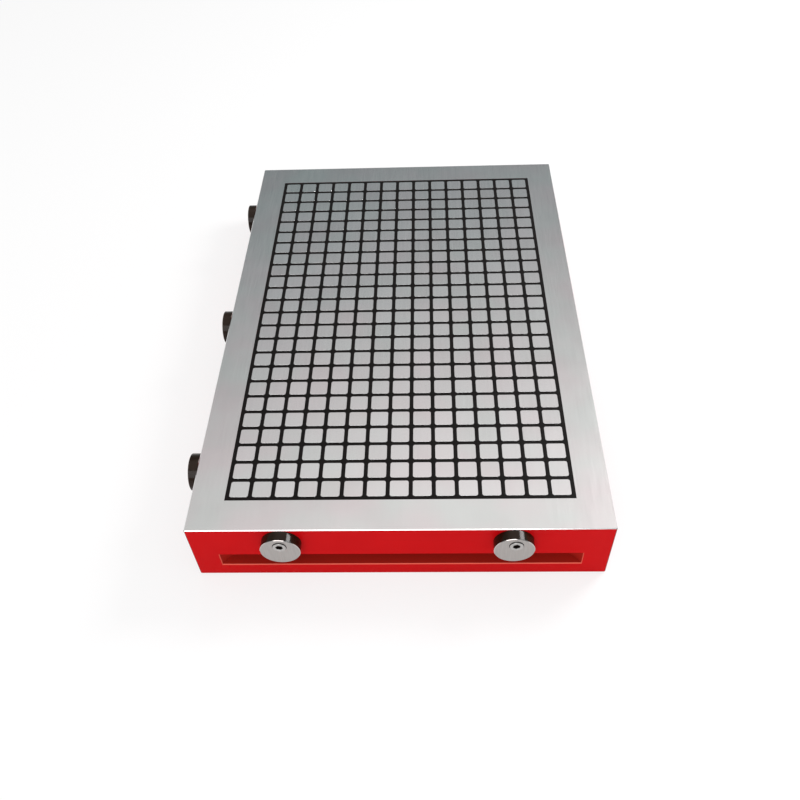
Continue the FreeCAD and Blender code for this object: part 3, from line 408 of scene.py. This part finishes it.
def build_poles():
    """Every pole as a prism with round corners and a fine broken edge round its ground face."""
    low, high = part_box("pole_blocks")
    levels = ((low[2], 0.0), (high[2] - POLE_EDGE, 0.0), (high[2], POLE_EDGE))
    outlines = [pole_outline(inset) for _, inset in levels]
    count = len(outlines[0])
    vertices = []
    faces = []
    tones = []
    for x, y, _, _ in grid_middles():
        base = len(vertices)
        for (z, _), outline in zip(levels, outlines):
            vertices += [(x + px, y + py, z) for px, py in outline]
        for ring in range(2):
            for i in range(count):
                a = base + ring * count + i
                b = base + ring * count + (i + 1) % count
                faces.append((a, b, b + count, a + count))
        faces.append(tuple(base + 2 * count + i for i in range(count)))
        faces.append(tuple(base + i for i in reversed(range(count))))
        tones += [random.uniform(0.0, TONE_SPREAD)] * (3 * count)
    piece = new_object("pole_faces", vertices, faces, pole_material())
    attribute = piece.data.attributes.new("tone", "FLOAT", "POINT")
    attribute.data.foreach_set("value", tones)
    return piece


def build_resin():
    """The resin lattice: one cell round each pole, dished a little where the wheel wore it."""
    low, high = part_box("resin_grid")
    top = high[2] - RESIN_SUNK
    dish = high[2] - RESIN_DISH
    outline = pole_outline(-RESIN_GAP)
    count = len(outline)
    vertices = []
    faces = []
    for x, y, on_side, on_end in grid_middles():
        left = low[0] if on_side and x < 0 else x - PITCH / 2
        right = high[0] if on_side and x > 0 else x + PITCH / 2
        front = low[1] if on_end and y < 0 else y - PITCH / 2
        back = high[1] if on_end and y > 0 else y + PITCH / 2
        base = len(vertices)
        vertices += [(right, back, top), (left, back, top), (left, front, top), (right, front, top)]
        vertices += [(x + px, y + py, dish) for px, py in outline]
        vertices += [(x + px, y + py, low[2]) for px, py in outline]
        ring = base + 4
        for corner in range(4):
            first = ring + corner * ARC_STEPS
            for step in range(ARC_STEPS - 1):
                faces.append((base + corner, first + step + 1, first + step))
            last = first + ARC_STEPS - 1
            following = ring + (corner + 1) % 4 * ARC_STEPS
            faces.append((base + corner, base + (corner + 1) % 4, following, last))
        for i in range(count):
            a = ring + i
            b = ring + (i + 1) % count
            faces.append((a, b, b + count, a + count))
    base = len(vertices)
    for z in (low[2], top):
        vertices += [(high[0], high[1], z), (low[0], high[1], z), (low[0], low[1], z), (high[0], low[1], z)]
    for i in range(4):
        j = (i + 1) % 4
        faces.append((base + i, base + j, base + 4 + j, base + 4 + i))
    faces.append(tuple(base + i for i in reversed(range(4))))
    return new_object("resin_lattice", vertices, faces, resin_material())


# ------------------------------------------------------------------ stop screws


HEAD_RADIUS = 6.5 * MM
SOLID_HEAD_HEIGHT = 8 * MM
HEAD_HEIGHT = 5 * MM
SHANK_RADIUS = 4 * MM
SHANK_LENGTH = 25 * MM
SOCKET_SIDE = 6 * MM
SOCKET_DEPTH = 3.2 * MM
KNURLS = 36
KNURL_DEPTH = 0.12 * MM
SOCKET_LEAD = 0.35 * MM
TIP_CHAMFER = 0.8 * MM


def hexagon_reach(angle, side):
    """From the middle of a hexagon to its rim, in the given direction."""
    turn = (angle + math.pi / 6) % (math.pi / 3) - math.pi / 6
    return side / 2 / math.cos(turn)


def screw_rings():
    """Rings of a cap screw from the socket's floor out over the head and down to the tip.

    Each is (kind, radius or side, height above the seat, 1 where it is black: on the head's sides partly
    black oxide and partly painted shade, in the socket painted shade).
    """
    top = HEAD_HEIGHT
    floor = top - SOCKET_DEPTH
    return [
        ("round", 0.2 * MM, floor - 0.9 * MM, 1),
        ("hexagon", SOCKET_SIDE, floor, 1),
        ("hexagon", SOCKET_SIDE, top - SOCKET_LEAD, 1),
        ("hexagon", SOCKET_SIDE + 2 * SOCKET_LEAD, top, 0),
        ("round", HEAD_RADIUS - 1.0 * MM, top, 0),
        ("round", HEAD_RADIUS - 0.4 * MM, top - 0.12 * MM, 0),
        ("round", HEAD_RADIUS - 0.12 * MM, top - 0.5 * MM, 1),
        ("knurled", HEAD_RADIUS, top - 0.9 * MM, 1),
        ("knurled", HEAD_RADIUS, 0.3 * MM, 1),
        ("round", HEAD_RADIUS - 0.3 * MM, 0.0, 1),
        ("round", SHANK_RADIUS, 0.0, 1),
        ("round", SHANK_RADIUS, TIP_CHAMFER - SHANK_LENGTH, 1),
        ("round", SHANK_RADIUS - TIP_CHAMFER, -SHANK_LENGTH, 1),
    ]


def build_screws():
    """The five stop screws with low heads, each on the seat and axis of the stop that it holds."""
    count = 2 * KNURLS
    rings = screw_rings()
    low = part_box("stop_screws")[0]
    vertices = []
    faces = []
    darkness = []
    for joint in frame["record"]["behaviour"]["joints"]:
        if not joint["name"].startswith("turn_stop_"):
            continue
        axis = Vector(joint["axis"])
        across = axis.cross(Vector((0, 0, 1)))
        middle = Vector(joint["pos_m"])
        head = max(abs(low[0] * axis.x), abs(low[1] * axis.y))
        seat = head - SOLID_HEAD_HEIGHT - abs(middle.dot(axis))
        spin = random.uniform(0, math.pi / 3)
        base = len(vertices)
        for kind, width, height, dark in rings:
            for i in range(count):
                angle = i / count * 2 * math.pi
                reach = hexagon_reach(angle, width) if kind == "hexagon" else width
                if kind == "knurled":
                    reach -= KNURL_DEPTH * (i % 2)
                out = math.cos(angle + spin) * reach
                up = math.sin(angle + spin) * reach
                point = middle + axis * (seat + height) + across * out + Vector((0, 0, up))
                vertices.append(tuple(point))
                darkness.append(dark)
        for ring in range(len(rings) - 1):
            for i in range(count):
                a = base + ring * count + i
                b = base + ring * count + (i + 1) % count
                faces.append((a, b, b + count, a + count))
        faces.append(tuple(base + i for i in reversed(range(count))))
        last = base + (len(rings) - 1) * count
        faces.append(tuple(last + i for i in range(count)))
    piece = new_object("stop_cap_screws", vertices, faces, screw_material())
    attribute = piece.data.attributes.new("oxide_and_shade", "FLOAT", "POINT")
    attribute.data.foreach_set("value", [float(d) for d in darkness])
    return piece


REBUILT = (
    (build_poles, "pole_blocks", "pole_steel"),
    (build_resin, "resin_grid", "cast_resin"),
    (build_screws, "stop_screws", "screw_steel"),
)
for make, node, slot in REBUILT:
    piece = make()
    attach(piece, "chuck_body")
    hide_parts(node)


# ------------------------------------------------------------------ materials for the CAD nodes


def dress(names, material):
    for name in names:
        for slot in nodes[name].material_slots:
            slot.material = material


black_oxide = metal_material("black_oxide", (0.025, 0.025, 0.027), (0.06, 0.06, 0.063), 0.3, 0.45)
bronze = metal_material("bronze", (0.50, 0.32, 0.14), (0.62, 0.42, 0.20), 0.25, 0.4, (1, 8, 1), 60.0)
machined = metal_material("machined_steel", (0.40, 0.40, 0.40), (0.55, 0.55, 0.55), 0.22, 0.38)
milled = ((0.70, 0.71, 0.72), (0.80, 0.81, 0.82))
aluminium = metal_material("milled_aluminium", *milled, 0.25, 0.4, (8, 1, 1), 60.0)
nickel = metal_material("nickel_plate", (0.62, 0.60, 0.55), (0.72, 0.70, 0.64), 0.12, 0.22)

dress(["top_frame"], frame_material())
dress(["base_housing"], housing_material())
dress(["stop_disc_front_left", "stop_disc_front_right"], stop_material("front_stop_steel", "Y"))
side_stops = ["stop_disc_side_front", "stop_disc_side_middle", "stop_disc_side_rear"]
dress(side_stops, stop_material("side_stop_steel", "X"))
dress(["panel_screws", "flange_screws", "rack_screws", "bearing_flange"], black_oxide)
dress(["wear_strip_left", "wear_strip_right", "side_guide_left", "side_guide_right"], bronze)
dress(["outer_bush", "inner_bush"], bronze)
dress(["drive_shaft", "rack", "yoke_plate"], machined)
dress(["carrier_frame", "spacer_bars"], aluminium)
dress(["north_magnets", "south_magnets"], nickel)
dress(["panel_seal", "shaft_seal"], rubber_material())


# ------------------------------------------------------------------ floor, world, lights and camera


WHITE_SHARE = 0.72


def build_floor():
    """White table: what the eye sees is part lit colour, which keeps the shadow, and part plain white."""
    material = bpy.data.materials.new("floor_white")
    material.use_nodes = True
    tree = material.node_tree
    surface = tree.nodes["Principled BSDF"]
    surface.inputs["Base Color"].default_value = (0.94, 0.94, 0.94, 1)
    surface.inputs["Roughness"].default_value = 0.9
    surface.inputs["Specular IOR Level"].default_value = 0.0
    white = tree.nodes.new("ShaderNodeEmission")
    rays = tree.nodes.new("ShaderNodeLightPath")
    seen = tree.nodes.new("ShaderNodeMath")
    seen.operation = "MAXIMUM"
    tree.links.new(rays.outputs["Is Camera Ray"], seen.inputs[0])
    tree.links.new(rays.outputs["Is Glossy Ray"], seen.inputs[1])
    share = tree.nodes.new("ShaderNodeMath")
    share.operation = "MULTIPLY"
    share.inputs[1].default_value = WHITE_SHARE
    tree.links.new(seen.outputs["Value"], share.inputs[0])
    mixed = tree.nodes.new("ShaderNodeMixShader")
    tree.links.new(share.outputs["Value"], mixed.inputs["Fac"])
    tree.links.new(surface.outputs["BSDF"], mixed.inputs[1])
    tree.links.new(white.outputs["Emission"], mixed.inputs[2])
    tree.links.new(mixed.outputs["Shader"], tree.nodes["Material Output"].inputs["Surface"])
    reach = 6.0
    corners = [(-reach, -reach, 0), (reach, -reach, 0), (reach, reach, 0), (-reach, reach, 0)]
    floor = new_object("floor", corners, [(0, 1, 2, 3)], material)


def build_world():
    """A plain studio sky: cool and dim towards the walls, bright overhead and a little to the right."""
    world = bpy.data.worlds.new("studio")
    bpy.context.scene.world = world
    world.use_nodes = True
    tree = world.node_tree
    coordinates = tree.nodes.new("ShaderNodeTexCoord")
    split = tree.nodes.new("ShaderNodeSeparateXYZ")
    tree.links.new(coordinates.outputs["Generated"], split.inputs["Vector"])
    lean = tree.nodes.new("ShaderNodeMath")
    lean.operation = "MULTIPLY_ADD"
    lean.inputs[1].default_value = 0.15
    tree.links.new(split.outputs["X"], lean.inputs[0])
    tree.links.new(split.outputs["Z"], lean.inputs[2])
    ramp = tree.nodes.new("ShaderNodeValToRGB")
    stops = (
        (0.0, (0.40, 0.42, 0.42)),
        (0.48, (0.19, 0.235, 0.245)),
        (0.60, (0.36, 0.38, 0.39)),
        (0.72, (0.66, 0.64, 0.645)),
        (0.84, (1.0, 0.96, 0.96)),
    )
    elements = ramp.color_ramp.elements
    while len(elements) < len(stops):
        elements.new(0.5)
    for element, (position, colour) in zip(elements, stops):
        element.position = position
        element.color = (*colour, 1)
    tree.links.new(lean.outputs["Value"], ramp.inputs["Fac"])
    background = tree.nodes["Background"]
    tree.links.new(ramp.outputs["Color"], background.inputs["Color"])
    background.inputs["Strength"].default_value = 1.0


def area_light(name, place, target, size, power, colour=(1, 1, 1)):
    data = bpy.data.lights.new(name, "AREA")
    data.shape = "SQUARE"
    data.size = size
    data.energy = power
    data.color = colour
    lamp = bpy.data.objects.new(name, data)
    lamp.location = place
    direction = Vector(target) - Vector(place)
    lamp.rotation_euler = direction.to_track_quat("-Z", "Y").to_euler()
    bpy.context.scene.collection.objects.link(lamp)


def build_camera():
    data = bpy.data.cameras.new("camera")
    data.sensor_width = 36
    data.lens = 36.95
    camera = bpy.data.objects.new("camera", data)
    camera.location = (0.0310, -0.7138, 0.7182)
    camera.rotation_euler = [math.radians(a) for a in (41.844, 2.024, 0.944)]
    bpy.context.scene.collection.objects.link(camera)
    bpy.context.scene.camera = camera


build_floor()
build_world()
area_light("front_softbox", (-0.4, -2.4, 1.7), (0, -0.2, 0.03), 2.0, 35)
area_light("right_softbox", (1.26, 0.74, 1.26), (0.05, -0.3, 0.07), 0.6, 22)
build_camera()
bpy.context.scene.view_settings.view_transform = "Standard"
